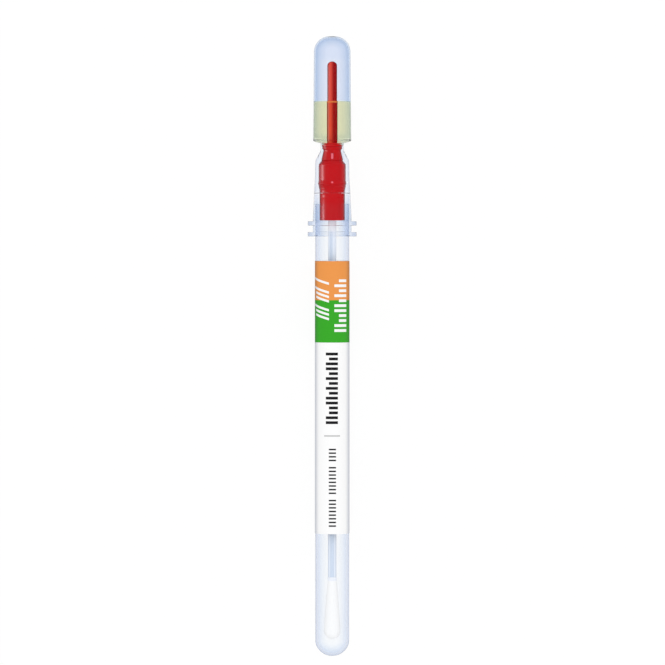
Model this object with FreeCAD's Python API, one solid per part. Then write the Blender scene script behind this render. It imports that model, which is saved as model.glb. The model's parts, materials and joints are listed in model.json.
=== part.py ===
import FreeCAD, Part

import math
import os

from FreeCAD import Vector

# A self-contained specimen swab, built along its own axis and then laid on a table. Every length is in
# millimetres. "Along" is the distance from the tube's closed tip towards the bulb, and "radius" is the
# distance from the axis.

# Tube
tube_length = 123.0
tube_outer_radius = 4.6
tube_wall = 0.8
tube_crown_excess = 0.15  # the closed end's crown is flatter than the tube's own radius by this much
tube_corner_inset = 1.0  # and its corner arc is centred this far from the axis
tube_rim_rounding = 0.25

# Label, wrapped all the way round the tube
label_length = 74.1
label_thickness = 0.16
label_below_mouth = 15.5

# Bulb: the skirt that plugs over the tube, with its two round flanges
socket_clearance = 0.06
skirt_overlap = 8.8
skirt_wall = 0.59
skirt_wall_at_ledge = 0.26
socket_headroom = 3.0  # from the tube's rim up to the ledge inside the skirt
socket_bevel = 0.2
flange_proud = 1.39  # how far the flanges stand out from the skirt
flange_thickness = 1.15
flange_gap = 1.8
flange_rounding = 0.2

# Bulb: the sleeve round the valve's body, the shoulder and the neck
sleeve_wall = 0.9
sleeve_taper_length = 4.6
sleeve_blend = 2.0
ledge_blend = 3.0
shoulder_draft = 0.11
shoulder_straight = 1.2  # the sleeve's own height above the valve's body, before the shoulder falls away
shoulder_height = 3.6
shoulder_rounding = 1.2
neck_wall = 0.35
neck_rounding = 0.1

# Bulb: the chamber
chamber_length = 28.6
chamber_base_radius = 5.14
chamber_top_radius = 4.97
chamber_wall = 0.45
chamber_floor = 0.3
chamber_floor_slope = 0.5  # how far the floor falls between its rim and the neck
chamber_rounding = 0.25
dome_crown_radius = 8.4
dome_corner_radius = 4.2

# Snap valve: foot, bead, body and cone
valve_plug_depth = 4.5  # how far the valve reaches down into the tube's mouth
valve_foot_clearance = 0.38  # between the foot and the tube's bore
valve_foot_length = 8.2
valve_bead_proud = 0.23
valve_bead_rise = 1.8  # from the foot's top to the bead's crest
valve_bead_fall = 0.9  # from the crest to the body
valve_flare_bow = 0.3  # how far the hollow flare under the bead sags from a straight line
valve_body_step = 0.3  # how much wider the body is than the foot
valve_body_length = 4.35
valve_step_height = 0.95
valve_cone_inset = 0.77  # how much narrower the cone's foot is than the body
valve_cone_height = 2.5
valve_rounding = 0.3
valve_edge_rounding = 0.12

# Snap valve: the neck that breaks, the collar and the stem
snap_inset = 0.57  # and the neck than the cone's foot
snap_height = 0.5
snap_wall = 0.6
collar_proud = 0.47  # how much wider the collar is than the neck that breaks
collar_skirt_inset = 0.13  # how much narrower its lower edge is
collar_skirt_height = 0.35
collar_notch_height = 0.8
collar_notch = 0.12
collar_rim_height = 1.3
collar_height = 2.0
collar_top_inset = 0.6  # and its flat top
collar_above_neck = 0.18
stem_radius = 1.32
stem_length = 22.05
stem_tip_inset = 0.12

# Snap valve: the key on the cone's front, and the bore
key_width = 0.75
key_proud = 0.3
key_from_cone_foot = 0.25
key_from_cone_head = 0.4
valve_chamber_wall = 1.4
passage_length = 1.5  # plastic between the shaft's seat and the valve's chamber

# Swab
shaft_radius = 1.13
shaft_bore_radius = 0.75
shaft_seat_depth = 6.0
shaft_in_bud = 12.5
bud_tip_gap = 3.9  # from the tube's inner bottom to the bud's tip
bud_length = 16.8
bud_radius = 2.2
bud_crown_excess = 0.15
bud_corner_inset = 0.1
bud_widest_above_tip = 3.4
bud_neck_wrap = 0.12  # fibre round the shaft at the bud's neck
bud_neck_length = 1.2
bud_blend = 1.0

# Broth, up to its level above the chamber's outer rim
broth_level = 10.9

# Places along the axis that follow from the sizes above
mouth = tube_length
skirt_end = mouth - skirt_overlap
upper_flange = skirt_end + flange_thickness + flange_gap
ledge = mouth + socket_headroom
valve_end = mouth - valve_plug_depth
foot_top = valve_end + valve_foot_length
bead_crest = foot_top + valve_bead_rise
body_start = bead_crest + valve_bead_fall
body_top = body_start + valve_body_length
cone_foot = body_top + valve_step_height
cone_head = cone_foot + valve_cone_height
collar_base = cone_head + snap_height
collar_top = collar_base + collar_height
stem_tip = collar_top + stem_length
neck_base = body_top + shoulder_height
neck_top = collar_top - collar_above_neck
chamber_rim = neck_top + chamber_floor_slope
dome_tip = chamber_rim + chamber_length
broth_surface = chamber_rim + broth_level
shaft_top = valve_end + shaft_seat_depth
bud_tip = tube_wall + bud_tip_gap
bud_top = bud_tip + bud_length
shaft_end = bud_top - shaft_in_bud

# Radii that follow
valve_foot_radius = tube_outer_radius - tube_wall - valve_foot_clearance
valve_body_radius = valve_foot_radius + valve_body_step
valve_cone_radius = valve_body_radius - valve_cone_inset
snap_radius = valve_cone_radius - snap_inset
collar_radius = snap_radius + collar_proud
collar_skirt_radius = collar_radius - collar_skirt_inset
collar_top_radius = collar_radius - collar_top_inset
bead_radius = valve_body_radius + valve_bead_proud
sleeve_radius = valve_body_radius + sleeve_wall
socket_radius = tube_outer_radius + socket_clearance
skirt_radius = socket_radius + skirt_wall
flange_radius = skirt_radius + flange_proud
neck_radius = collar_radius + neck_wall
snap_bore_radius = snap_radius - snap_wall
bud_neck_radius = shaft_radius + bud_neck_wrap

full_turn = 360.0


def at(radius, along):
    return Vector(radius, along, 0)


def straight(start, end):
    return Part.LineSegment(start, end).toShape()


def rounded_run(corners):
    """Edges through corners of (radius, along, rounding), each inner corner rounded by a tangent arc."""
    edges = []
    pen = at(*corners[0][:2])
    for before, corner, after in zip(corners, corners[1:], corners[2:]):
        here = at(*corner[:2])
        rounding = corner[2]
        if rounding == 0:
            edges.append(straight(pen, here))
            pen = here
            continue
        back = (at(*before[:2]) - here).normalize()
        on = (at(*after[:2]) - here).normalize()
        inwards = (back + on).normalize()
        half = back.getAngle(on) / 2
        cut = rounding / math.tan(half)
        middle = here + inwards * (rounding / math.sin(half) - rounding)
        edges.append(straight(pen, here + back * cut))
        edges.append(Part.Arc(here + back * cut, middle, here + on * cut).toShape())
        pen = here + on * cut
    edges.append(straight(pen, at(*corners[-1][:2])))
    return edges


def dome_drop(radius, corner, crown):
    """How far the corner arc's centre lies from the crown's centre, towards the tip."""
    return math.sqrt((crown - corner) ** 2 - (radius - corner) ** 2)


def dome_depth(radius, corner, crown):
    """The length of a domed end, from its tip to where the side wall starts."""
    return crown - dome_drop(radius, corner, crown)


def dome(radius, corner, crown, tip, way):
    """The crown and corner arcs of a domed end, from the axis out to the side wall.

    The wall leaves the tip towards way, which is 1 up the axis and -1 down it.
    """
    inset = radius - corner
    drop = dome_drop(radius, corner, crown)
    crown_centre = tip + way * crown
    corner_centre = crown_centre - way * drop
    lean = math.atan2(inset, drop)
    square = math.pi / 2

    def on_crown(angle):
        return at(crown * math.sin(angle), crown_centre - way * crown * math.cos(angle))

    def on_corner(angle):
        return at(inset + corner * math.sin(angle), corner_centre - way * corner * math.cos(angle))

    crown_arc = Part.Arc(at(0, tip), on_crown(lean / 2), on_crown(lean))
    corner_arc = Part.Arc(on_crown(lean), on_corner((lean + square) / 2), on_corner(square))
    return [crown_arc.toShape(), corner_arc.toShape()]


def spun(edges):
    """The solid that a closed half section sweeps round the axis."""
    section = Part.Face(Part.Wire(edges))
    return section.revolve(Vector(0, 0, 0), Vector(0, 1, 0), full_turn)


def turned(corners):
    """The solid turned from a closed run of corners."""
    return spun(rounded_run(corners + corners[:1]))


def ring(inner, outer, start, end, rounding=0):
    """A round flange or a straight length of tube, with its outer edges rounded."""
    return turned([(inner, start, 0), (outer, start, rounding), (outer, end, rounding), (inner, end, 0)])


def rod(radius, start, end):
    return Part.makeCylinder(radius, end - start, Vector(0, start, 0), Vector(0, 1, 0))


def tube_end(skin):
    """The radii of the tube's closed end, a skin inside its outer face, and where its side wall starts."""
    radius = tube_outer_radius - skin
    corner = tube_outer_radius - tube_corner_inset - skin
    crown = tube_outer_radius + tube_crown_excess - skin
    return radius, corner, crown, skin + dome_depth(radius, corner, crown)


def make_tube():
    outer, outer_corner, outer_crown, outer_side = tube_end(0)
    inner, inner_corner, inner_crown, inner_side = tube_end(tube_wall)
    outer_dome = dome(outer, outer_corner, outer_crown, 0, 1)
    inner_dome = dome(inner, inner_corner, inner_crown, tube_wall, 1)
    rounding = min(tube_rim_rounding, tube_wall / 3)
    walls = rounded_run(
        [
            (outer, outer_side, 0),
            (outer, mouth, rounding),
            (inner, mouth, rounding),
            (inner, inner_side, 0),
        ]
    )
    bottom = straight(at(0, tube_wall), at(0, 0))
    return spun(outer_dome + walls + inner_dome[::-1] + [bottom])


def make_label():
    top = mouth - label_below_mouth
    return ring(tube_outer_radius, tube_outer_radius + label_thickness, top - label_length, top)


def valve_form():
    """The valve's outer form, with no bore: foot, bead, body, cone, snap neck, collar and stem."""
    foot = rounded_run(
        [
            (0, valve_end, 0),
            (valve_foot_radius, valve_end, valve_edge_rounding),
            (valve_foot_radius, foot_top, 0),
        ]
    )
    flare_start = at(valve_foot_radius, foot_top)
    flare_end = at(bead_radius, bead_crest)
    sag = Vector(-valve_flare_bow, valve_flare_bow, 0) / 2
    flare = Part.Arc(flare_start, (flare_start + flare_end) / 2 + sag, flare_end).toShape()
    notch = collar_base + collar_notch_height
    stem_corner = stem_radius - stem_tip_inset
    stem_crown = stem_radius + stem_tip_inset
    stem_side = stem_tip - dome_depth(stem_radius, stem_corner, stem_crown)
    upper = rounded_run(
        [
            (bead_radius, bead_crest, 0),
            (valve_body_radius, body_start, valve_rounding),
            (valve_body_radius, body_top, valve_rounding),
            (valve_cone_radius, cone_foot, valve_edge_rounding),
            (snap_radius, cone_head, valve_rounding),
            (snap_radius, collar_base, 0),
            (collar_skirt_radius, collar_base + collar_skirt_height, 0),
            (collar_skirt_radius, notch - collar_notch, 0),
            (collar_skirt_radius - collar_notch, notch, 0),
            (collar_radius, notch + collar_notch, 0),
            (collar_radius, collar_base + collar_rim_height, valve_edge_rounding),
            (collar_top_radius, collar_top, valve_edge_rounding),
            (stem_radius, collar_top, valve_edge_rounding),
            (stem_radius, stem_side, 0),
        ]
    )
    tip = dome(stem_radius, stem_corner, stem_crown, stem_tip, -1)
    axis = straight(at(0, stem_tip), at(0, valve_end))
    return spun(foot + [flare] + upper + tip[::-1] + [axis])


def valve_key():
    """The small raised key on the cone's front."""
    start = cone_foot + key_from_cone_foot
    end = cone_head - key_from_cone_head
    slope = (valve_cone_radius - snap_radius) / valve_cone_height

    def side_corner(along, height):
        return Vector(-key_width / 2, along, height)

    def face_of(along):
        return valve_cone_radius - slope * (along - cone_foot) + key_proud

    outline = [
        side_corner(start, snap_bore_radius),
        side_corner(start, face_of(start)),
        side_corner(end, face_of(end)),
        side_corner(end, snap_bore_radius),
    ]
    side = Part.Face(Part.makePolygon(outline + outline[:1]))
    return side.extrude(Vector(key_width, 0, 0))


def valve_bore():
    """The seat for the shaft, the passage above it, and the chamber that runs up under the stem's root."""
    chamber_radius = valve_body_radius - valve_chamber_wall
    chamber_start = shaft_top + passage_length
    chamber_end = collar_base + snap_wall
    chamber = turned(
        [
            (0, chamber_start, 0),
            (chamber_radius, chamber_start, 0),
            (chamber_radius, body_top, 0),
            (snap_bore_radius, cone_foot, 0),
            (snap_bore_radius, chamber_end, 0),
            (0, chamber_end, 0),
        ]
    )
    seat = rod(shaft_radius, valve_end, shaft_top)
    passage = rod(shaft_bore_radius, valve_end, chamber_start)
    return chamber.fuse([seat, passage])


def make_valve():
    return valve_form().fuse(valve_key()).cut(valve_bore()).removeSplitter()


def bulb_form():
    """The bulb's outer form, without its hollows and flanges: chamber, neck, shoulder, sleeve and skirt."""
    side = dome_tip - dome_depth(chamber_top_radius, dome_corner_radius, dome_crown_radius)
    edges = dome(chamber_top_radius, dome_corner_radius, dome_crown_radius, dome_tip, -1)
    edges += rounded_run(
        [
            (chamber_top_radius, side, 0),
            (chamber_base_radius, chamber_rim, chamber_rounding),
            (neck_radius, neck_top, neck_rounding),
            (neck_radius, neck_base, chamber_rounding),
            (sleeve_radius - shoulder_draft, body_top + shoulder_straight, shoulder_rounding),
            (sleeve_radius, body_top, chamber_rounding),
            (sleeve_radius, ledge + sleeve_taper_length, sleeve_blend),
            (socket_radius + skirt_wall_at_ledge, ledge, ledge_blend),
            (skirt_radius, upper_flange + flange_thickness, 0),
            (skirt_radius, skirt_end, 0),
            (0, skirt_end, 0),
            (0, dome_tip, 0),
        ]
    )
    return spun(edges)


def chamber_hollow():
    """The space inside the bulb's chamber, down to the foot of its neck."""
    radius = chamber_top_radius - chamber_wall
    corner = dome_corner_radius - chamber_wall
    crown = dome_crown_radius - chamber_wall
    tip = dome_tip - chamber_wall
    side = tip - dome_depth(radius, corner, crown)
    edges = dome(radius, corner, crown, tip, -1)
    edges += rounded_run(
        [
            (radius, side, 0),
            (chamber_base_radius - chamber_wall, chamber_rim + chamber_floor, chamber_rounding),
            (collar_radius, neck_top + chamber_floor, neck_rounding),
            (collar_radius, neck_base, 0),
            (0, neck_base, 0),
            (0, tip, 0),
        ]
    )
    return spun(edges)


def skirt_socket():
    """The socket that the tube's mouth plugs into, with a lead-in at its foot."""
    return turned(
        [
            (0, skirt_end, 0),
            (socket_radius + socket_bevel, skirt_end, 0),
            (socket_radius, skirt_end + socket_bevel, 0),
            (socket_radius, ledge, socket_bevel),
            (0, ledge, 0),
        ]
    )


def sleeve_hollow():
    """The bore that grips the valve's body, closing in under the shoulder to the neck."""
    return turned(
        [
            (0, ledge, 0),
            (valve_body_radius, ledge, 0),
            (valve_body_radius, body_top, 0),
            (collar_radius, neck_base, 0),
            (0, neck_base, 0),
        ]
    )


def make_bulb():
    flanges = [
        ring(socket_radius, flange_radius, start, start + flange_thickness, flange_rounding)
        for start in (skirt_end, upper_flange)
    ]
    hollows = [skirt_socket(), sleeve_hollow(), chamber_hollow(), valve_form()]
    return bulb_form().fuse(flanges).cut(hollows).removeSplitter()


def make_broth():
    """Broth fills the chamber from the collar's rim up to its surface, round the stem."""
    above = rod(2 * chamber_base_radius, collar_base + collar_rim_height, broth_surface)
    return chamber_hollow().common(above).cut(valve_form())


def make_shaft():
    return ring(shaft_bore_radius, shaft_radius, shaft_end, shaft_top)


def make_bud():
    corner = bud_radius - bud_corner_inset
    crown = bud_radius + bud_crown_excess
    side = bud_tip + dome_depth(bud_radius, corner, crown)
    edges = dome(bud_radius, corner, crown, bud_tip, 1)
    edges += rounded_run(
        [
            (bud_radius, side, 0),
            (bud_radius, bud_tip + bud_widest_above_tip, bud_blend),
            (bud_neck_radius, bud_top - bud_neck_length, bud_blend),
            (bud_neck_radius, bud_top, 0),
            (0, bud_top, 0),
            (0, bud_tip, 0),
        ]
    )
    return spun(edges).cut(rod(shaft_radius, shaft_end, bud_top))


def lie():
    """The tilt in degrees, the lift and the shift that lay the device on a table.

    It rests on the lower flange's rim and on the corner of the tube's closed end, with the tube's tip low,
    and the middle of its length comes to y = 0.
    """
    _, corner, crown, corner_centre = tube_end(0)
    run = skirt_end + flange_rounding - corner_centre
    rise = flange_radius - flange_rounding - tube_corner_inset
    tilt = math.atan2(rise, run) + math.asin((flange_rounding - corner) / math.hypot(rise, run))
    lift = corner + tube_corner_inset * math.cos(tilt) - corner_centre * math.sin(tilt)
    low_end = crown * math.cos(tilt) - crown
    high_end = (dome_tip - dome_crown_radius) * math.cos(tilt) + dome_crown_radius
    return math.degrees(tilt), lift, -(low_end + high_end) / 2


def laid(shape):
    tilt, lift, shift = lie()
    placed = shape.copy()
    placed.rotate(Vector(0, 0, 0), Vector(1, 0, 0), tilt)
    placed.translate(Vector(0, shift, lift))
    return placed


pieces = {
    "tube": make_tube,
    "label": make_label,
    "bulb": make_bulb,
    "snap_valve": make_valve,
    "broth": make_broth,
    "swab_shaft": make_shaft,
    "swab_bud": make_bud,
}

os.makedirs("parts", exist_ok=True)
for name, make in pieces.items():
    laid(make()).exportStep(f"parts/{name}.step")
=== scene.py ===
"""A specimen swab in its clear tube: the looks of every piece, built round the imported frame."""

import json
import math

import bpy
from mathutils import Matrix, Vector


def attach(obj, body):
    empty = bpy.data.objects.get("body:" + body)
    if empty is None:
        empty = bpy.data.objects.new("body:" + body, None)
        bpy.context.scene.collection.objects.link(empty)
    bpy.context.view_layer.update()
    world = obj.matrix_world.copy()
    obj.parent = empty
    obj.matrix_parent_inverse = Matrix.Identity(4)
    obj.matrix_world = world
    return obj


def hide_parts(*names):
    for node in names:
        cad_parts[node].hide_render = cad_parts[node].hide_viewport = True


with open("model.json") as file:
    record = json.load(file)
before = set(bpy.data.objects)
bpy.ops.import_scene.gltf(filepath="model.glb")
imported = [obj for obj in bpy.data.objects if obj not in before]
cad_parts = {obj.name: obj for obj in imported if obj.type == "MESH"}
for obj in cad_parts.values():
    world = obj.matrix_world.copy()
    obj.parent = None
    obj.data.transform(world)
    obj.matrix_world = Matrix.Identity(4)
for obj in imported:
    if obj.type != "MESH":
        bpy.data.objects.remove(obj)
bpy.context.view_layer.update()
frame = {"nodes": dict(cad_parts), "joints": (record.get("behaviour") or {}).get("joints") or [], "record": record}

MM = 0.001  # a millimetre, in the frame's metres

# ---------------------------------------------------------------- places, read from the frame
MOUNTS = {mount["name"]: mount for mount in frame["record"]["mounts"]}
AXIS = Vector(frame["joints"][0]["axis"]).normalized()
ON_AXIS = Vector(MOUNTS["labelled_barrel"]["pos_m"])
TILT = math.atan2(AXIS.z, AXIS.y)


def heights(name):
    """How far along the axis a node's vertices lie from the barrel's middle, in metres."""
    return [(vertex.co - ON_AXIS).dot(AXIS) for vertex in frame["nodes"][name].data.vertices]


TIP_HEIGHT = min(heights("tube"))
TIP = ON_AXIS + AXIS * TIP_HEIGHT
# Pieces are made in millimetres, with the tube's tip at the origin and the axis along Y.
LAY = Matrix.Translation(TIP) @ Matrix.Rotation(TILT, 4, "X") @ Matrix.Scale(MM, 4)


def span(name):
    """A node's two ends along the axis, in millimetres from the tube's closed tip."""
    along = heights(name)
    return tuple((end - TIP_HEIGHT) / MM for end in (min(along), max(along)))


def girth(name):
    """A node's largest distance from the axis, in millimetres."""
    spokes = [vertex.co - ON_AXIS for vertex in frame["nodes"][name].data.vertices]
    return max((spoke - AXIS * spoke.dot(AXIS)).length for spoke in spokes) / MM


# ---------------------------------------------------------------- sizes in millimetres
_, mouth = span("tube")
label_end, label_top = span("label")
skirt_end, dome_tip = span("bulb")
valve_end, stem_tip = span("snap_valve")
_, broth_surface = span("broth")
shaft_end, shaft_top = span("swab_shaft")
bud_tip, bud_top = span("swab_bud")
tube_radius = girth("tube")
label_radius = girth("label")
flange_radius = girth("bulb")
bead_radius = girth("snap_valve")
shaft_radius = girth("swab_shaft")
bud_radius = girth("swab_bud")

film = 0.02  # air between dry pieces that touch, so that each shows its own face

# tube and label
tube_wall = 0.8
tube_crown_excess = 0.15
tube_corner_inset = 1.0
rim_rounding = 0.25

label_lap = 0.05  # how far the label's end stands proud where it laps over its start
lap_half_angle = math.radians(17)
orange_foot = label_top - 10.6
green_foot = orange_foot - 11.5

# skirt and flanges
socket_clearance = 0.06
socket_radius = tube_radius + socket_clearance
skirt_wall = 0.59
ledge_wall = 0.26
ledge = mouth + 3.0
flange_thickness = 1.15
flange_pitch = 2.95
flange_rounding = 0.12

# snap valve, from its foot up to its collar and stem
foot_clearance = 0.38
foot_radius = tube_radius - tube_wall - foot_clearance
body_radius = foot_radius + 0.3
cone_radius = body_radius - 0.77
snap_radius = cone_radius - 0.57
collar_radius = snap_radius + 0.47
collar_crown_radius = collar_radius - 0.6
stem_radius = 1.32
foot_top = valve_end + 8.2
bead_crest = foot_top + 1.8
body_start = bead_crest + 0.9
body_top = body_start + 4.35
cone_foot = body_top + 0.95
cone_head = cone_foot + 2.5
collar_base = cone_head + 0.5
collar_shoulder = collar_base + 1.3
collar_top = collar_base + 2.0
valve_chamber_radius = body_radius - 1.4
snap_bore_radius = snap_radius - 0.6
passage_radius = 0.75

# sleeve, neck and chamber of the bulb
sleeve_radius = body_radius + 0.9
neck_radius = collar_radius + 0.35
neck_base = body_top + 3.6
neck_top = collar_top - 0.18
chamber_rim = neck_top + 0.5
chamber_wall = 0.45
chamber_floor = 0.3
chamber_base_radius = 5.14
chamber_top_radius = 4.97
dome_crown = 8.4
dome_corner = 4.2

# bud
bud_widest = bud_tip + 3.4
bud_neck_radius = shaft_radius + 0.12

FINE_ARC = math.radians(6)  # one step of a rounding
AROUND = 144  # steps round the axis
SLIM = 64  # steps round a slim piece
DOUBLES = 0.002  # millimetres between points that are one


# ---------------------------------------------------------------- outlines
def swing(centre, start, end):
    """Points on the arc round centre from start to end."""
    first, last = start - centre, end - centre
    steps = max(2, math.ceil(first.angle(last) / FINE_ARC))
    reach = first.length
    first, last = first.normalized(), last.normalized()
    return [centre + first.slerp(last, step / steps) * reach for step in range(steps + 1)]


def rounded(corners):
    """Points through corners of (radius, along, rounding), with an arc at each rounded corner."""
    points = [Vector(corners[0][:2])]
    for before, corner, after in zip(corners, corners[1:], corners[2:]):
        here, rounding = Vector(corner[:2]), corner[2]
        if not rounding:
            points.append(here)
            continue
        back = (Vector(before[:2]) - here).normalized()
        on = (Vector(after[:2]) - here).normalized()
        half = back.angle(on) / 2
        centre = here + (back + on).normalized() * rounding / math.sin(half)
        cut = rounding / math.tan(half)
        points += swing(centre, here + back * cut, here + on * cut)
    points.append(Vector(corners[-1][:2]))
    return points


def dome(radius, corner, crown, tip, way):
    """A domed end's points, from its tip out to the side wall, which runs on along way, 1 or -1."""
    drop = math.sqrt((crown - corner) ** 2 - (radius - corner) ** 2)
    crown_centre = Vector((0, tip + way * crown))
    corner_centre = Vector((radius - corner, crown_centre.y - way * drop))
    join = crown_centre + (corner_centre - crown_centre).normalized() * crown
    side = Vector((radius, corner_centre.y))
    return swing(crown_centre, Vector((0, tip)), join) + swing(corner_centre, join, side)[1:]


# ---------------------------------------------------------------- making pieces by hand
def deselect():
    bpy.ops.object.select_all(action="DESELECT")


def pick(piece):
    deselect()
    piece.select_set(True)
    bpy.context.view_layer.objects.active = piece


def named(name):
    """Names the piece that was just added."""
    piece = bpy.context.object
    piece.name = piece.data.name = name
    return piece


def edit(piece):
    pick(piece)
    bpy.ops.object.mode_set(mode="EDIT")
    bpy.ops.mesh.select_mode(type="VERT")
    bpy.ops.mesh.select_all(action="SELECT")


def done():
    bpy.ops.object.mode_set(mode="OBJECT")
    deselect()


def drawn(name, points):
    """A line of edges through points, drawn by extruding one corner from each to the next."""
    deselect()
    bpy.ops.mesh.primitive_plane_add(size=1, location=points[0])
    piece = named(name)
    bpy.ops.object.transform_apply(location=True)
    edit(piece)
    bpy.ops.mesh.merge(type="CENTER")
    for here, there in zip(points, points[1:]):
        bpy.ops.mesh.extrude_vertices_move(TRANSFORM_OT_translate={"value": there - here})
    return piece


def turned(name, outline, steps=AROUND):
    """A piece spun round the axis from its outline of (radius, along)."""
    piece = drawn(name, [Vector((point[0], point[1], 0)) for point in outline])
    bpy.ops.mesh.select_all(action="SELECT")
    bpy.ops.mesh.spin(steps=steps, angle=math.tau, center=(0, 0, 0), axis=(0, 1, 0))
    bpy.ops.mesh.select_all(action="SELECT")
    bpy.ops.mesh.remove_doubles(threshold=DOUBLES)
    bpy.ops.mesh.normals_make_consistent(inside=False)
    done()
    return piece


def pick_faces(piece, wanted):
    """Leaves only the wanted faces of a piece selected, ready for an edit."""
    edit(piece)
    bpy.ops.mesh.select_mode(type="FACE")
    bpy.ops.mesh.select_all(action="DESELECT")
    bpy.ops.object.mode_set(mode="OBJECT")
    for face in piece.data.polygons:
        face.select = wanted(face)
    bpy.ops.object.mode_set(mode="EDIT")


def modified(piece, kind, **settings):
    """Finishes a piece with one modifier and applies it."""
    pick(piece)
    modifier = piece.modifiers.new(kind.lower(), kind)
    for key, value in settings.items():
        setattr(modifier, key, value)
    bpy.ops.object.modifier_apply(modifier=modifier.name)
    deselect()


def finished(piece, body, slot, material, smooth=32, replaces=True):
    """Lays a piece where the frame has its node, gives it its material and puts it on its body."""
    piece.matrix_world = LAY @ piece.matrix_world
    pick(piece)
    bpy.ops.object.transform_apply(location=True, rotation=True, scale=True)
    bpy.ops.object.shade_smooth_by_angle(angle=math.radians(smooth))
    piece.data.materials.clear()
    piece.data.materials.append(material)
    if replaces:
        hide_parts(slot)
    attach(piece, body)
    deselect()
    return piece


# ---------------------------------------------------------------- nodes
def node(tree, kind, **settings):
    """A new shader node, with its settings."""
    made = tree.nodes.new("ShaderNode" + kind)
    for key, value in settings.items():
        setattr(made, key, value)
    return made


def give(tree, socket, value):
    """Sets a socket to a plain value, or wires it to another node's output."""
    if isinstance(value, bpy.types.NodeSocket):
        tree.links.new(value, socket)
    else:
        socket.default_value = value


def noise(tree, place, scale, detail=2.0):
    """Soft cloudy noise over a place."""
    made = node(tree, "TexNoise")
    give(tree, made.inputs["Vector"], place)
    give(tree, made.inputs["Scale"], scale)
    give(tree, made.inputs["Detail"], detail)
    return made.outputs[0]


def maths(tree, operation, *values):
    made = node(tree, "Math", operation=operation)
    for socket, value in zip(made.inputs, values):
        give(tree, socket, value)
    return made.outputs[0]


def ramp(tree, value, start, end, low=0.0, high=1.0, smooth=True):
    """A value that goes from low to high as another goes from start to end."""
    made = node(tree, "MapRange", interpolation_type="SMOOTHSTEP" if smooth else "LINEAR")
    for socket, given in zip(made.inputs, (value, start, end, low, high)):
        give(tree, socket, given)
    return made.outputs[0]


def blended(tree, share, first, second, way="MIX"):
    """One colour over another, by a share."""
    made = node(tree, "Mix", data_type="RGBA", blend_type=way)
    colours = [socket for socket in made.inputs if socket.type == "RGBA"]
    give(tree, made.inputs["Factor"], share)
    for socket, value in zip(colours, (first, second)):
        give(tree, socket, (*value, 1) if isinstance(value, tuple) else value)
    return next(socket for socket in made.outputs if socket.type == "RGBA")


def shaded(tree, colour, share, shade):
    """A colour dimmed towards a shade, by a share."""
    return blended(tree, share, colour, shade, "MULTIPLY")


def layered(tree, colour, *layers):
    """A colour with others laid over it in turn, each given as (share, colour)."""
    for share, over in layers:
        colour = blended(tree, share, colour, over)
    return colour


def mixed(tree, share, first, second):
    """One shader in place of another, by a share."""
    mix = node(tree, "MixShader")
    for socket, value in zip(mix.inputs, (share, first, second)):
        give(tree, socket, value)
    return mix.outputs[0]


def new_material(name):
    """An empty material and its node tree."""
    material = bpy.data.materials.new(name)
    material.use_nodes = True
    tree = material.node_tree
    tree.nodes.clear()
    node(tree, "OutputMaterial")
    return material, tree


def output(tree, surface, volume=None):
    out = next(made for made in tree.nodes if made.type == "OUTPUT_MATERIAL")
    tree.links.new(surface, out.inputs["Surface"])
    if volume is not None:
        tree.links.new(volume, out.inputs["Volume"])


def on_the_device(tree):
    """Millimetres across, along the axis from the tube's tip, and up, for a place on a piece."""
    place = node(tree, "TexCoord")
    turn = node(tree, "Mapping", vector_type="TEXTURE")
    turn.inputs["Location"].default_value = TIP
    turn.inputs["Rotation"].default_value = (TILT, 0, 0)
    turn.inputs["Scale"].default_value = (MM, MM, MM)
    tree.links.new(place.outputs["Object"], turn.inputs[0])
    return turn.outputs[0]


def new_group(name, inputs, outputs):
    """A node group with inputs of {name: plain value, or None for a place} and named outputs."""
    group = bpy.data.node_groups.new(name, "ShaderNodeTree")
    new_socket = group.interface.new_socket
    for label, plain in inputs.items():
        if plain is None:
            new_socket(label, in_out="INPUT", socket_type="NodeSocketVector")
        else:
            socket = new_socket(label, in_out="INPUT", socket_type="NodeSocketFloat")
            socket.default_value = plain
    for label in outputs:
        new_socket(label, in_out="OUTPUT", socket_type="NodeSocketFloat")
    start, end = group.nodes.new("NodeGroupInput"), group.nodes.new("NodeGroupOutput")
    return group, start.outputs, end.inputs


def grouped(tree, group, **given):
    """Places a group in a material and gives its inputs values."""
    made = node(tree, "Group")
    made.node_tree = group
    for key, value in given.items():
        give(tree, made.inputs[key.replace("_", " ")], value)
    return made.outputs


def make_round_the_axis():
    """Splits a place into how far along the axis, how far round a barrel and how far out it is."""
    group, given, put = new_group(
        "round_the_axis", {"Place": None, "Radius": 1.0}, ["Along", "Around", "Out"]
    )
    split = node(group, "SeparateXYZ")
    group.links.new(given["Place"], split.inputs[0])
    across, along, upward = split.outputs
    angle = maths(group, "ARCTAN2", across, upward)
    squares = [maths(group, "MULTIPLY", leg, leg) for leg in (across, upward)]
    group.links.new(along, put["Along"])
    group.links.new(maths(group, "MULTIPLY", angle, given["Radius"]), put["Around"])
    group.links.new(maths(group, "SQRT", maths(group, "ADD", *squares)), put["Out"])
    return group


def make_moulded_skin():
    """The faint orange peel of a moulded part, and its uneven gloss."""
    group, given, put = new_group(
        "moulded_skin",
        {"Place": None, "Grain": 3.0, "Gloss": 0.3, "Uneven": 0.05},
        ["Height", "Roughness"],
    )
    peel = noise(group, given["Place"], given["Grain"], detail=3.0)
    coarse = noise(group, given["Place"], 0.35)
    more_or_less = maths(group, "SUBTRACT", coarse, 0.5)
    uneven = maths(group, "MULTIPLY", more_or_less, given["Uneven"])
    group.links.new(maths(group, "ADD", given["Gloss"], uneven), put["Roughness"])
    group.links.new(peel, put["Height"])
    return group


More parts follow.
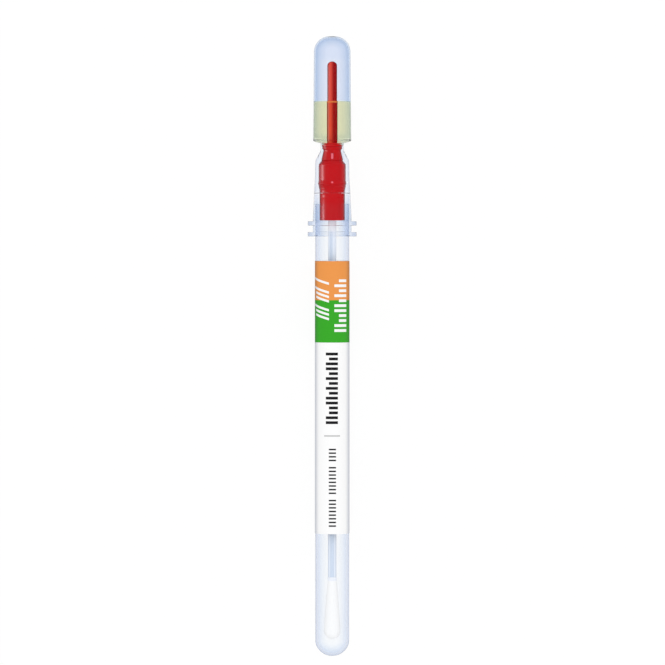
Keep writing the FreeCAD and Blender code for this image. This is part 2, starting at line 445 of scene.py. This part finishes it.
def make_printed_column():
    """A mask of plain bars in a column along the barrel, with a gap after every few of them."""
    group, given, put = new_group(
        "printed_column",
        {
            "Along": 0.0,
            "Around": 0.0,
            "Foot": 0.0,
            "Bars": 10.0,
            "Left": -1.0,
            "Right": 1.0,
            "Pitch": 1.0,
            "Filled": 0.5,
            "Slant": 0.0,
            "Ragged": 0.0,
            "Run": 5.0,
        },
        ["Mask"],
    )
    lean = maths(group, "MULTIPLY", given["Around"], given["Slant"])
    along = maths(group, "ADD", given["Along"], lean)
    count = maths(group, "DIVIDE", maths(group, "SUBTRACT", along, given["Foot"]), given["Pitch"])
    number = maths(group, "FLOOR", count)
    inked = maths(group, "LESS_THAN", maths(group, "SUBTRACT", count, number), given["Filled"])
    gap = maths(group, "FLOORED_MODULO", maths(group, "ADD", number, 1.0), given["Run"])
    inked = maths(group, "MULTIPLY", inked, maths(group, "GREATER_THAN", gap, 0.5))
    chance = node(group, "TexWhiteNoise", noise_dimensions="1D")
    group.links.new(number, chance.inputs["W"])
    picked = maths(group, "GREATER_THAN", chance.outputs["Value"], 0.6)
    short = maths(group, "MULTIPLY", picked, given["Ragged"])
    left = maths(group, "ADD", given["Left"], short)
    for limit in (
        maths(group, "GREATER_THAN", number, -0.5),
        maths(group, "LESS_THAN", number, given["Bars"]),
        maths(group, "GREATER_THAN", given["Around"], left),
        maths(group, "LESS_THAN", given["Around"], given["Right"]),
    ):
        inked = maths(group, "MULTIPLY", inked, limit)
    group.links.new(inked, put["Mask"])
    return group


ROUND_THE_AXIS = make_round_the_axis()
MOULDED_SKIN = make_moulded_skin()
PRINTED_COLUMN = make_printed_column()


# ---------------------------------------------------------------- materials
WHITE = (1.0, 1.0, 1.0)
PALE_IOR = 1.2  # of the clear and white pieces, low, so that they glare little
DEEP_IOR = 1.1  # of the broth and the dyed pieces, lower still
FINE_PEEL = 0.000003  # how deep a moulded face's orange peel is, in metres


def shader_of(tree, colour, roughness, normal=None, **plain):
    """A Principled shader, with the rest of its sockets set to plain values."""
    shader = node(tree, "BsdfPrincipled")
    give(tree, shader.inputs["Base Color"], (*colour, 1) if isinstance(colour, tuple) else colour)
    give(tree, shader.inputs["Roughness"], roughness)
    if normal is not None:
        tree.links.new(normal, shader.inputs["Normal"])
    for key, value in plain.items():
        shader.inputs[key.replace("_", " ")].default_value = value
    return shader


def bumped(tree, height, depth):
    """A normal from a height, depth metres from lowest to highest."""
    bump = node(tree, "Bump")
    bump.inputs["Strength"].default_value = 1.0
    bump.inputs["Distance"].default_value = depth
    tree.links.new(height, bump.inputs["Height"])
    return bump.outputs[0]


def let_lamps_in(tree, shader):
    """Clear plastic that lets the lamps straight through to what is inside it."""
    path = node(tree, "LightPath")
    straight = node(tree, "BsdfTransparent")
    surface = shader.outputs[0]
    for ray in ("Is Shadow Ray", "Is Diffuse Ray"):
        surface = mixed(tree, path.outputs[ray], surface, straight.outputs[0])
    return surface


def depth_tint(tree, colour, density):
    """The tint that clear stuff takes as it gets thicker."""
    tint = node(tree, "VolumeAbsorption")
    tint.inputs["Color"].default_value = (*colour, 1)
    tint.inputs["Density"].default_value = density
    return tint.outputs[0]


def rim(tree, start, end, smooth=True):
    """From 0 where a face looks at the eye to 1 where it turns away."""
    turned_away = node(tree, "LayerWeight")
    turned_away.inputs["Blend"].default_value = 0.5
    return ramp(tree, turned_away.outputs["Facing"], start, end, smooth=smooth)


def make_clear_tube():
    """Clear hard plastic: almost no colour in front, with a painted blue-grey shade where its outer face turns
    away.
    """
    material, tree = new_material("clear_tube")
    place = on_the_device(tree)
    skin = grouped(tree, MOULDED_SKIN, Place=place, Grain=0.5)
    spot = grouped(tree, ROUND_THE_AXIS, Place=place)
    down = maths(tree, "MINIMUM", maths(tree, "SUBTRACT", spot["Along"], tube_radius), 0.0)
    squares = [maths(tree, "MULTIPLY", leg, leg) for leg in (spot["Out"], down)]
    from_the_middle = maths(tree, "SQRT", maths(tree, "ADD", *squares))
    outer_face = ramp(tree, from_the_middle, tube_radius - 0.5, tube_radius - 0.3)
    edge = blended(tree, outer_face, (0.83, 0.905, 1.0), (0.37, 0.45, 0.67))
    below_the_skirt = ramp(tree, spot["Along"], skirt_end, skirt_end - 1.0)
    core = blended(tree, below_the_skirt, WHITE, (0.98, 0.99, 1.0))
    # Painted shade: the edge colour where the face turns away from the eye.
    colour = blended(tree, rim(tree, 0.05, 1.0, smooth=False), core, edge)
    # Painted shade at the rounded end, darker still at the very tip.
    shade_at_the_rounded_end = ramp(tree, spot["Along"], tube_radius + 0.4, 0.0)
    colour = shaded(tree, colour, shade_at_the_rounded_end, (0.97, 0.985, 1.0))
    shade_at_the_very_tip = ramp(tree, spot["Along"], 1.4, 0.2)
    colour = shaded(tree, colour, shade_at_the_very_tip, (0.96, 0.97, 0.98))
    normal = bumped(tree, skin["Height"], FINE_PEEL)
    shader = shader_of(tree, colour, 0.0, normal, IOR=PALE_IOR, Transmission_Weight=1.0)
    output(tree, let_lamps_in(tree, shader), depth_tint(tree, (0.7, 0.8, 0.95), 20))
    return material


def make_clear_bulb():
    """Clear pale blue soft plastic, bluer at the chamber, almost clear at the sleeve."""
    material, tree = new_material("clear_bulb")
    place = on_the_device(tree)
    skin = grouped(tree, MOULDED_SKIN, Place=place, Grain=0.4)
    along = grouped(tree, ROUND_THE_AXIS, Place=place)["Along"]
    sleeve = ramp(tree, along, ledge - 6.0, ledge)
    below_the_ledge = ramp(tree, along, ledge + 0.6, ledge + 0.2)
    above_the_ledge = ramp(tree, along, ledge - 0.6, ledge - 0.2)
    at_the_ledge = maths(tree, "MULTIPLY", above_the_ledge, below_the_ledge)
    flanges_top = skirt_end + flange_pitch + flange_thickness
    at_the_flanges = ramp(tree, along, flanges_top, flanges_top - 0.8)
    chamber = ramp(tree, along, chamber_rim - 0.6, chamber_rim + 0.3)
    near_the_floor = ramp(tree, along, chamber_rim + 3.0, chamber_rim + 0.5)
    low = maths(tree, "MULTIPLY", chamber, near_the_floor)
    on_the_floor = ramp(tree, along, chamber_rim + 1.2, chamber_rim + 0.5)
    painted_light_at_the_floor = maths(tree, "MULTIPLY", chamber, on_the_floor)
    dry = ramp(tree, along, broth_surface - 0.3, broth_surface)
    wet = maths(tree, "SUBTRACT", chamber, dry)
    under_the_dome = ramp(tree, along, dome_tip - 7.0, dome_tip - 5.5)
    core = layered(
        tree,
        (0.95, 0.97, 1.0),
        (sleeve, (0.99, 0.99, 1.0)),
        (chamber, (0.88, 0.91, 0.98)),
        (under_the_dome, (0.85, 0.89, 0.975)),
        (at_the_flanges, (0.98, 0.99, 1.0)),
        (wet, (0.92, 0.91, 0.925)),
    )
    core = shaded(tree, core, low, (0.91, 0.94, 0.97))
    # These edge colours are a painted shade; near the chamber's floor they are made lighter, a painted light.
    edge = layered(
        tree,
        (0.66, 0.75, 0.88),
        (sleeve, (0.84, 0.88, 0.95)),
        (at_the_ledge, (0.95, 0.96, 1.0)),
        (at_the_flanges, (0.71, 0.79, 0.92)),
        (chamber, (0.6, 0.7, 0.85)),
        (wet, (0.66, 0.72, 0.68)),
        (painted_light_at_the_floor, (0.9, 0.93, 0.9)),
    )
    # Painted shade: the edge colour where the face turns away from the eye.
    colour = blended(tree, rim(tree, 0.03, 0.6, smooth=False), core, edge)
    normal = bumped(tree, skin["Height"], FINE_PEEL)
    shader = shader_of(tree, colour, 0.0, normal, IOR=PALE_IOR, Transmission_Weight=1.0)
    output(tree, let_lamps_in(tree, shader), depth_tint(tree, (0.5, 0.6, 0.8), 50))
    return material


def make_broth_liquid():
    """Clear yellow-green broth, a little cloudy, which takes its colour from its depth."""
    material, tree = new_material("broth_liquid")
    cloud = noise(tree, on_the_device(tree), 0.4)
    colour = blended(tree, cloud, (0.99, 0.99, 0.96), (1.0, 1.0, 0.99))
    shader = shader_of(tree, colour, 0.0, IOR=DEEP_IOR, Transmission_Weight=1.0)
    output(tree, let_lamps_in(tree, shader), depth_tint(tree, (0.94, 0.95, 0.62), 150))
    return material


def make_dyed_plastic(name, low, high, gloss, stem=None):
    """Glossy moulded plastic from a low to a high colour, with painted edge shade; stem is a painted light and
    shade, its colours from left to right.
    """
    material, tree = new_material(name)
    place = on_the_device(tree)
    skin = grouped(tree, MOULDED_SKIN, Place=place, Grain=2.5, Gloss=gloss, Uneven=0.08)
    colour = blended(tree, noise(tree, place, 0.6), low, high)
    if stem:
        # On the stem, painted light on its left side and painted shade on its right, with painted shade at its
        # left edge.
        split = node(tree, "SeparateXYZ")
        tree.links.new(place, split.inputs[0])
        stem_painted_light_and_shade = blended(tree, ramp(tree, split.outputs["X"], -0.6, 0.5), *stem)
        stem_painted_left_edge_shade = ramp(tree, split.outputs["X"], -0.5, -1.2)
        stem_painted_light_and_shade = shaded(tree, stem_painted_light_and_shade, stem_painted_left_edge_shade, (0.5, 0.45, 0.5))
        on_the_stem = ramp(tree, split.outputs["Y"], collar_top, collar_top + 0.8)
        colour = blended(tree, on_the_stem, colour, stem_painted_light_and_shade)
    # Painted shade at the edges, where the face turns away from the eye.
    colour = shaded(tree, colour, rim(tree, 0.35, 0.9), (0.35, 0.35, 0.4))
    normal = bumped(tree, skin["Height"], FINE_PEEL)
    shader = shader_of(tree, colour, skin["Roughness"], normal, IOR=DEEP_IOR)
    output(tree, shader.outputs[0])
    return material


def make_shaft_plastic():
    """Drawn pale blue tube, with painted light and shade: deeper in colour along its top, paler down its sides."""
    material, tree = new_material("shaft_plastic")
    place = on_the_device(tree)
    skin = grouped(tree, MOULDED_SKIN, Place=place, Grain=1.5, Gloss=0.3, Uneven=0.1)
    stretch = node(tree, "Mapping")
    stretch.inputs["Scale"].default_value = (2.0, 0.05, 2.0)
    tree.links.new(place, stretch.inputs[0])
    draw_lines = noise(tree, stretch.outputs[0], 1.2)
    lie = grouped(tree, ROUND_THE_AXIS, Place=place, Radius=shaft_radius)
    along = lie["Along"]
    width = ramp(tree, along, bud_top, label_top, 0.4, 0.25)
    lean = ramp(tree, along, bud_top, label_top, 0.05, 0.3)
    # Painted light and shade: a deeper strip along the top, paler sides.
    off_the_shaded_strip = maths(tree, "ABSOLUTE", maths(tree, "ADD", lie["Around"], lean))
    painted_lit_sides = ramp(tree, maths(tree, "SUBTRACT", off_the_shaded_strip, width), 0.0, 0.35)
    in_the_skirt = ramp(tree, along, skirt_end - 0.2, skirt_end + 2.3)
    colour = layered(
        tree,
        blended(tree, draw_lines, (0.64, 0.73, 0.88), (0.68, 0.77, 0.9)),
        (painted_lit_sides, (0.84, 0.9, 1.0)),
        (in_the_skirt, (0.885, 0.92, 0.97)),
    )
    # Painted shade at its edges, growing towards the bud.
    towards_the_bud = ramp(tree, along, label_top, bud_top)
    sides = maths(tree, "MULTIPLY", rim(tree, 0.25, 0.7), towards_the_bud)
    colour = shaded(tree, colour, sides, (0.72, 0.75, 0.8))
    normal = bumped(tree, skin["Height"], 0.00001)
    shader = shader_of(tree, colour, skin["Roughness"], normal, IOR=PALE_IOR)
    output(tree, shader.outputs[0])
    return material


def make_bud_fibre():
    """Wound white fibre: fine strands that run round the bud on a slant."""
    material, tree = new_material("bud_fibre")
    place = on_the_device(tree)
    lie_of_fibre = grouped(tree, ROUND_THE_AXIS, Place=place, Radius=bud_radius)
    strand = node(tree, "CombineXYZ")
    tree.links.new(lie_of_fibre["Around"], strand.inputs["X"])
    tree.links.new(lie_of_fibre["Along"], strand.inputs["Y"])
    turn = node(tree, "Mapping")
    turn.inputs["Rotation"].default_value = (0, 0, math.radians(62))
    turn.inputs["Scale"].default_value = (0.7, 9.0, 1.0)
    tree.links.new(strand.outputs[0], turn.inputs[0])
    strands = noise(tree, turn.outputs[0], 1.0, detail=4.0)
    neck = ramp(tree, lie_of_fibre["Along"], bud_top - 1.1, bud_top - 0.9)
    colour = blended(tree, strands, (0.98, 0.98, 0.985), WHITE)
    colour = blended(tree, neck, colour, (0.9, 0.93, 1.0))
    # Painted shade at the edges, where the fibre turns away from the eye.
    colour = shaded(tree, colour, rim(tree, 0.7, 1.0), (0.8, 0.82, 0.85))
    normal = bumped(tree, strands, 0.00003)
    soft = {"Sheen_Weight": 0.1, "Sheen_Roughness": 0.5}
    output(tree, shader_of(tree, colour, 0.85, normal, IOR=PALE_IOR, **soft).outputs[0])
    return material


# Plain bars in columns where print would be. In millimetres, Foot is how far along the barrel a
# column starts, Left and Right are how far round it the bars reach, Pitch is from one bar to
# the next, and Ragged is how far some left ends are moved. Bars is a count, Filled is a bar's
# share of its pitch, Slant is how much it leans, and the last place in each Run stays empty.
SQUARE_WHITE_BARS = {
    "Foot": label_top - 19.2,
    "Bars": 11.0,
    "Left": 0.6,
    "Right": 4.5,
    "Pitch": 1.35,
    "Filled": 0.55,
    "Ragged": 1.3,
    "Run": 50.0,
}
SLANTED_WHITE_BARS = {
    "Foot": label_top - 16.3,
    "Bars": 9.0,
    "Left": -5.6,
    "Right": -0.9,
    "Pitch": 1.2,
    "Filled": 0.52,
    "Slant": 0.28,
    "Ragged": -1.0,
    "Run": 4.0,
}
BLACK_BARS = {
    "Foot": label_top - 44.2,
    "Bars": 15.0,
    "Left": -1.8,
    "Right": 1.6,
    "Pitch": 1.33,
    "Filled": 0.58,
    "Ragged": 0.9,
    "Run": 50.0,
}
FINE_TICKS = {
    "Foot": label_end + 2.0,
    "Bars": 22.0,
    "Left": -0.95,
    "Right": 1.05,
    "Pitch": 0.99,
    "Filled": 0.42,
    "Run": 9.0,
}
GREY_RULE = {
    "Foot": label_top - 47.6,
    "Bars": 1.0,
    "Left": -2.3,
    "Right": 2.2,
    "Pitch": 0.35,
    "Filled": 1.0,
    "Run": 50.0,
}


def make_label_film():
    """Printed film: an orange and a green field over white, with plain bars in place of print."""
    material, tree = new_material("label_film")
    place = on_the_device(tree)
    skin = grouped(tree, MOULDED_SKIN, Place=place, Grain=4.0, Gloss=0.5, Uneven=0.1)
    spot = grouped(tree, ROUND_THE_AXIS, Place=place, Radius=label_radius)
    along, around = spot["Along"], spot["Around"]
    ink = noise(tree, place, 3.0)

    def field(low, high):
        return blended(tree, ink, low, high)

    def printed(*columns):
        masks = [
            grouped(tree, PRINTED_COLUMN, Along=along, Around=around, **column)["Mask"]
            for column in columns
        ]
        return maths(tree, "MAXIMUM", *masks) if masks[1:] else masks[0]

    colour = layered(
        tree,
        field((0.96, 0.96, 0.965), (0.985, 0.985, 0.985)),
        (
            maths(tree, "GREATER_THAN", along, green_foot),
            field((0.035, 0.38, 0.018), (0.045, 0.42, 0.024)),
        ),
        (
            maths(tree, "GREATER_THAN", along, orange_foot),
            field((0.83, 0.3, 0.07), (0.87, 0.34, 0.085)),
        ),
        (printed(SQUARE_WHITE_BARS, SLANTED_WHITE_BARS), (0.95, 0.95, 0.95)),
        (printed(BLACK_BARS, FINE_TICKS), (0.012, 0.012, 0.014)),
        (printed(GREY_RULE), (0.5, 0.5, 0.5)),
        (maths(tree, "LESS_THAN", spot["Out"], tube_radius + 2 * film), (0.9, 0.9, 0.9)),
    )
    # Painted shade at the edges, where the film turns away from the eye.
    colour = shaded(tree, colour, rim(tree, 0.3, 0.75), (0.66, 0.68, 0.74))
    normal = bumped(tree, skin["Height"], 2 * FINE_PEEL)
    shader = shader_of(tree, colour, skin["Roughness"], normal, IOR=PALE_IOR)
    output(tree, shader.outputs[0])
    return material


CLEAR_TUBE = make_clear_tube()
CLEAR_BULB = make_clear_bulb()
BROTH_LIQUID = make_broth_liquid()
RED_PLASTIC = make_dyed_plastic(
    "red_plastic",
    low=(0.54, 0.005, 0.009),
    high=(0.58, 0.008, 0.012),
    gloss=0.37,
    # The stem's painted light and painted shade, from its left side to its right.
    stem=((0.85, 0.08, 0.05), (0.35, 0.003, 0.005)),
)
# The key and the pip in a paler red: a painted highlight on their faces.
RED_WITH_PAINTED_HIGHLIGHT = make_dyed_plastic(
    "red_plastic_painted_highlight", low=(0.84, 0.14, 0.19), high=(0.88, 0.17, 0.22), gloss=0.2
)
SHAFT_PLASTIC = make_shaft_plastic()
BUD_FIBRE = make_bud_fibre()
LABEL_FILM = make_label_film()
BROTH_EDGE = make_dyed_plastic(
    "broth_edge", low=(0.85, 0.22, 0.07), high=(0.9, 0.26, 0.09), gloss=0.1
)


# ---------------------------------------------------------------- pieces
def make_tube():
    """The clear tube: one wall, round at its closed end and rounded at its mouth."""

    def closed_end(radius, tip):
        return dome(radius, radius - tube_corner_inset, radius + tube_crown_excess, tip, 1)

    bore = tube_radius - tube_wall
    outer, inner = closed_end(tube_radius, 0), closed_end(bore, tube_wall)
    walls = rounded(
        [
            (*outer[-1], 0),
            (tube_radius, mouth, rim_rounding),
            (bore, mouth, rim_rounding),
            (*inner[-1], 0),
        ]
    )
    piece = turned("tube_body", outer + walls[1:-1] + inner[::-1])
    return finished(piece, "tube", "tube", CLEAR_TUBE)


def make_label():
    """A film wrapped round the tube, with one end lapped over the other underneath."""
    inside, outside = tube_radius + film, label_radius - label_lap
    corners = [(inside, label_end), (outside, label_end), (outside, label_top), (inside, label_top)]
    piece = turned("label_wrap", corners + corners[:1], 180)

    def lapped(face):
        middle = face.center
        outer_face = math.hypot(middle.x, middle.z) > (inside + outside) / 2 + film
        return outer_face and abs(math.atan2(middle.x, -middle.z)) < lap_half_angle

    pick_faces(piece, lapped)
    bpy.ops.mesh.extrude_region_shrink_fatten(TRANSFORM_OT_shrink_fatten={"value": label_lap})
    done()
    return finished(piece, "tube", "label", LABEL_FILM, smooth=20)


def flange(start):
    """The outline round one flange's rim, from its upper edge to its lower."""
    return [
        (flange_radius, start + flange_thickness, flange_rounding),
        (flange_radius, start, flange_rounding),
    ]


def make_bulb():
    """The clear bulb: domed chamber, neck, shoulder, sleeve, and skirt with two round flanges."""

    def closed_end(inset):
        sizes = (chamber_top_radius, dome_corner, dome_crown, dome_tip)
        return dome(*(size - inset for size in sizes), -1)

    outer, inner = closed_end(0), closed_end(chamber_wall)
    upper = skirt_end + flange_pitch
    skirt_radius = socket_radius + skirt_wall
    shoulder, hip = body_top + 1.2, ledge + 4.6
    shoulder_draft = 0.11
    lead_in = 0.2
    bead_seat = bead_crest - 0.75
    outside = rounded(
        [
            (*outer[-1], 0),
            (chamber_base_radius, chamber_rim, 0.4),
            (neck_radius, neck_top, 0.1),
            (neck_radius, neck_base, 0.25),
            (sleeve_radius - shoulder_draft, shoulder, 1.2),
            (sleeve_radius, body_top, 0.25),
            (sleeve_radius, hip, 2.0),
            (socket_radius + ledge_wall, ledge, 3.0),
            (skirt_radius, upper + flange_thickness, flange_rounding),
            *flange(upper),
            (skirt_radius, upper, flange_rounding),
            (skirt_radius, skirt_end + flange_thickness, flange_rounding),
            *flange(skirt_end),
            (socket_radius + lead_in, skirt_end, 0),
            (socket_radius, skirt_end + lead_in, 0),
            (socket_radius, ledge, 0.2),
            (body_radius, ledge, 0.1),
            (body_radius, bead_seat, 0.3),
            (bead_radius, bead_crest, 0.5),
            (body_radius, body_start, 0.3),
            (body_radius, body_top, 0.3),
            (collar_radius, neck_base, 0.3),
            (collar_radius, neck_top + chamber_floor, 0.1),
            (chamber_base_radius - chamber_wall, chamber_rim + chamber_floor, 0.7),
            (chamber_top_radius - chamber_wall, outer[-1][1], 0),
        ]
    )
    piece = turned("squeeze_bulb", outer + outside[1:-1] + inner[::-1])
    return finished(piece, "swab", "bulb", CLEAR_BULB)


def groove(radius, along, depth, flare=0.0):
    """A fine moulded line round a barrel, or round a cone that widens by its flare."""
    half = 0.09  # of the line's width
    return [
        (radius - flare * half, along - half, 0),
        (radius - depth, along, 0),
        (radius + flare * half, along + half, 0),
    ]


def make_valve():
    """The red snap valve: hollow foot, bead, body, cone, breaking neck, collar and long stem."""
    chamber_top = collar_base + 0.6
    chamber_start = shaft_top + 1.5
    seat = shaft_radius + film
    foot_lines = [(valve_end + 6.0, 0.03), (valve_end + 7.4, 0.05)]  # each with its depth
    above_the_foot, below_the_bead = 0.6, 0.42
    flare = (bead_radius - film - foot_radius) / (bead_crest - foot_top)
    bore = [
        (0, chamber_top, 0),
        (snap_bore_radius, chamber_top, 0),
        (snap_bore_radius, cone_foot, 0),
        (valve_chamber_radius, body_top, 0),
        (valve_chamber_radius, chamber_start, 0),
        (passage_radius, chamber_start, 0),
        (passage_radius, shaft_top + film, 0),
        (seat, shaft_top + film, 0),
        (seat, valve_end, 0.05),
        (foot_radius, valve_end, 0.12),
        *(point for along, depth in foot_lines for point in groove(foot_radius, along, depth)),
        (foot_radius, foot_top, 2.5),
        *groove(foot_radius + above_the_foot * flare, foot_top + above_the_foot, 0.03, flare),
        *groove(
            bead_radius - film - below_the_bead * flare, bead_crest - below_the_bead, 0.07, flare
        ),
        (bead_radius - film, bead_crest, 0.12),
    ]
    collar_foot, collar_neck = collar_base + 0.35, collar_radius - 0.13
    notch, notch_half, notch_bottom = collar_base + 0.8, 0.12, collar_radius - 0.25
    step_out, step_in = cone_radius - 0.14, cone_radius - 0.04
    stem_side = stem_tip - 1.5
    outside = [
        (body_radius - film, body_start, 0.3),
        (body_radius - film, body_top, 0.3),
        (cone_radius, cone_foot, 0),
        (step_out, cone_foot + 0.02, 0),
        (step_in, cone_foot + 0.2, 0),
        (snap_radius, cone_head, 0.3),
        (snap_radius, collar_base, 0.1),
        (collar_neck, collar_foot, 0.08),
        (collar_neck, notch - notch_half, 0),
        (notch_bottom, notch, 0),
        (collar_radius - film, notch + notch_half, 0),
        (collar_radius - film, collar_shoulder, 0.12),
        (collar_crown_radius, collar_top, 0.12),
        (stem_radius, collar_top, 0.12),
        (stem_radius, stem_side, 0),
    ]
    stem_end = dome(stem_radius, stem_radius - 0.12, stem_radius + 0.12, stem_tip, -1)
    piece = turned("snap_valve_moulding", rounded(bore + outside)[:-1] + stem_end[::-1])
    return finished(piece, "swab", "snap_valve", RED_PLASTIC)


def make_valve_key():
    """The small raised key on the cone's front, with its edges eased."""
    start, end = cone_foot + 0.25, cone_head - 0.4
    middle = (start + end) / 2
    width, thickness, sunk = 0.75, 0.9, 0.35
    slope = (cone_radius - snap_radius) / (cone_head - cone_foot)
    front = (0, middle, cone_radius - sunk + thickness / 2)
    deselect()
    bpy.ops.mesh.primitive_cube_add(
        size=1,
        location=(0, middle, cone_radius - sunk),
        scale=(width, end - start, thickness),
    )
    piece = named("valve_key")
    bpy.ops.object.transform_apply(location=True, rotation=True, scale=True)
    pick_faces(piece, lambda face: face.normal.z > 0.9)
    bpy.ops.transform.rotate(value=-math.atan(slope), orient_axis="X", center_override=front)
    bpy.ops.transform.resize(value=(0.8, 0.92, 1), center_override=front)
    done()
    modified(piece, "BEVEL", width=0.08, segments=3)
    return finished(piece, "swab", "snap_valve", RED_WITH_PAINTED_HIGHLIGHT, replaces=False)


def make_valve_pip():
    """The moulding pip on the bead's front."""
    radius, flatness, sunk = 0.32, 0.55, 0.17
    place = (0, bead_crest + 0.3, bead_radius - sunk)
    deselect()
    bpy.ops.mesh.primitive_uv_sphere_add(
        segments=24, ring_count=12, radius=radius, location=place
    )
    piece = named("valve_pip")
    bpy.ops.object.transform_apply(location=True)
    edit(piece)
    bpy.ops.transform.resize(value=(1, 1, flatness), center_override=place)
    done()
    return finished(piece, "swab", "snap_valve", RED_WITH_PAINTED_HIGHLIGHT, replaces=False)


def make_broth():
    """The charge of broth round the stem. It reaches into the plastic that it wets."""
    wet = 0.02  # how far it reaches in, which leaves no air between
    base = collar_top - 0.05  # a little deeper into the collar's top
    side = chamber_base_radius - chamber_wall + wet
    meniscus = 0.06
    floor = neck_top + chamber_floor - wet
    corners = [
        (stem_radius - wet, broth_surface, 0),
        (side - meniscus, broth_surface, 0),
        (side, chamber_rim + chamber_floor - wet, 0.7),
        (collar_radius + wet, floor, 0),
        (collar_radius + wet, collar_shoulder, 0),
        (collar_crown_radius, base, 0),
        (stem_radius - wet, base, 0),
    ]
    piece = turned("broth_charge", rounded(corners + corners[:1]))
    return finished(piece, "swab", "broth", BROTH_LIQUID)


def make_broth_edge():
    """The thin line of broth that clings to the stem at the surface."""
    proud, sunk, half = 0.09, 0.05, 0.26
    level = broth_surface - 0.2
    corners = [
        (stem_radius - sunk, level - half, 0),
        (stem_radius + proud, level, 0.12),
        (stem_radius - sunk, level + half, 0),
    ]
    piece = turned("broth_edge_ring", rounded(corners + corners[:1]), SLIM)
    return finished(piece, "swab", "broth", BROTH_EDGE, replaces=False)


def make_shaft():
    """The hollow swab shaft, from inside the bud to its seat in the valve."""
    corners = [
        (passage_radius, shaft_end, 0),
        (shaft_radius, shaft_end, 0.08),
        (shaft_radius, shaft_top, 0.08),
        (passage_radius, shaft_top, 0),
    ]
    piece = turned("shaft_tube", rounded(corners + corners[:1]), SLIM)
    return finished(piece, "swab", "swab_shaft", SHAFT_PLASTIC)


def make_bud():
    """Fibre wound on the shaft's end, with a bound ring at its neck."""
    tip = dome(bud_radius, bud_radius - 0.1, bud_radius + 0.15, bud_tip, 1)
    neck = bud_top - 1.2
    bound, bound_half, bound_depth = bud_top - 0.85, 0.1, 0.06
    rest = rounded(
        [
            (*tip[-1], 0),
            (bud_radius, bud_widest, 1.0),
            (bud_neck_radius, neck, 1.0),
            (bud_neck_radius, bound - bound_half, 0),
            (bud_neck_radius - bound_depth, bound, 0),
            (bud_neck_radius, bound + bound_half, 0),
            (bud_neck_radius, bud_top, 0.1),
            (shaft_radius + film, bud_top, 0),
        ]
    )
    piece = turned("fibre_bud", tip + rest[1:], 128)
    finished(piece, "swab", "swab_bud", BUD_FIBRE, smooth=60)
    return piece


make_tube()
make_label()
make_bulb()
valve = make_valve()
make_valve_key()
make_valve_pip()
make_broth()
make_broth_edge()
make_shaft()
make_bud()


# ---------------------------------------------------------------- stage
def make_floor():
    """A white floor that still takes the object's shadow."""
    deselect()
    bpy.ops.mesh.primitive_plane_add(size=6, location=(0, 0, 0))
    floor = named("floor")
    material, tree = new_material("floor_white")
    matt = node(tree, "BsdfDiffuse")
    matt.inputs["Color"].default_value = (0.75, 0.75, 0.75, 1)
    glow = node(tree, "Emission")
    glow.inputs["Strength"].default_value = 1.03
    whiteness = 0.9  # the rest is left to the shadow
    seen_floor = mixed(tree, whiteness, matt.outputs[0], glow.outputs[0])
    ray = node(tree, "LightPath").outputs
    seen = maths(tree, "MAXIMUM", ray["Is Camera Ray"], ray["Is Transmission Ray"])
    output(tree, mixed(tree, seen, matt.outputs[0], seen_floor))
    floor.data.materials.append(material)


def make_world():
    """White behind the object, darker overhead in reflections, and plain as a light."""
    world = bpy.data.worlds.new("studio")
    bpy.context.scene.world = world
    world.use_nodes = True
    tree = world.node_tree
    tree.nodes.clear()

    def white(strength):
        backdrop = node(tree, "Background")
        give(tree, backdrop.inputs["Strength"], strength)
        return backdrop.outputs[0]

    ray = node(tree, "LightPath").outputs
    split = node(tree, "SeparateXYZ")
    tree.links.new(node(tree, "TexCoord").outputs["Generated"], split.inputs[0])
    overhead_dims = ramp(tree, split.outputs["Z"], 0.05, 0.55, 0.9, 0.4)
    bent = maths(tree, "MAXIMUM", ray["Is Glossy Ray"], ray["Is Transmission Ray"])
    unseen = mixed(tree, bent, white(1.14), white(overhead_dims))
    sky = mixed(tree, ray["Is Camera Ray"], unseen, white(1.0))
    tree.links.new(sky, node(tree, "OutputWorld").inputs[0])


def make_lamp(name, place, size, power):
    """A rectangular lamp that faces the frame's origin, in metres and watts."""
    lamp = bpy.data.lights.new(name, "AREA")
    lamp.shape = "RECTANGLE"
    lamp.size, lamp.size_y = size
    lamp.energy = power
    holder = bpy.data.objects.new(name, lamp)
    bpy.context.collection.objects.link(holder)
    holder.location = place
    holder.rotation_euler = (-Vector(place)).to_track_quat("-Z", "Y").to_euler()
    return holder


def shine_only_on(lamp, *pieces):
    """Keeps a lamp's light to the given pieces."""
    lit = bpy.data.collections.new(lamp.name + "_lit")
    for piece in pieces:
        lit.objects.link(piece)
    lamp.light_linking.receiver_collection = lit


def make_camera():
    """A long lens straight above the device, with its closed tip at the foot of the view."""
    lens, sensor = 300, 36  # millimetres
    framed = 0.1809  # metres from side to side, at the device's middle
    centre = Vector((0.00008, 0.00375, 0.006))
    camera = bpy.data.cameras.new("camera")
    camera.lens = lens
    camera.sensor_width = sensor
    camera.clip_start, camera.clip_end = 0.01, 20
    holder = bpy.data.objects.new("camera", camera)
    bpy.context.collection.objects.link(holder)
    holder.location = centre + Vector((0, 0, framed * lens / sensor))
    bpy.context.scene.camera = holder


make_floor()
make_world()
overhead = make_lamp("overhead", place=(0, 0, 1.0), size=(0.8, 0.8), power=1.4)
overhead.visible_glossy = overhead.visible_transmission = False
side_lamp = make_lamp("side_lamp", place=(-0.8, 0.05, 0.03), size=(0.06, 0.06), power=22.0)
side_lamp.visible_diffuse = side_lamp.visible_transmission = False
shine_only_on(side_lamp, valve)
make_camera()
bpy.context.scene.view_settings.view_transform = "Standard"
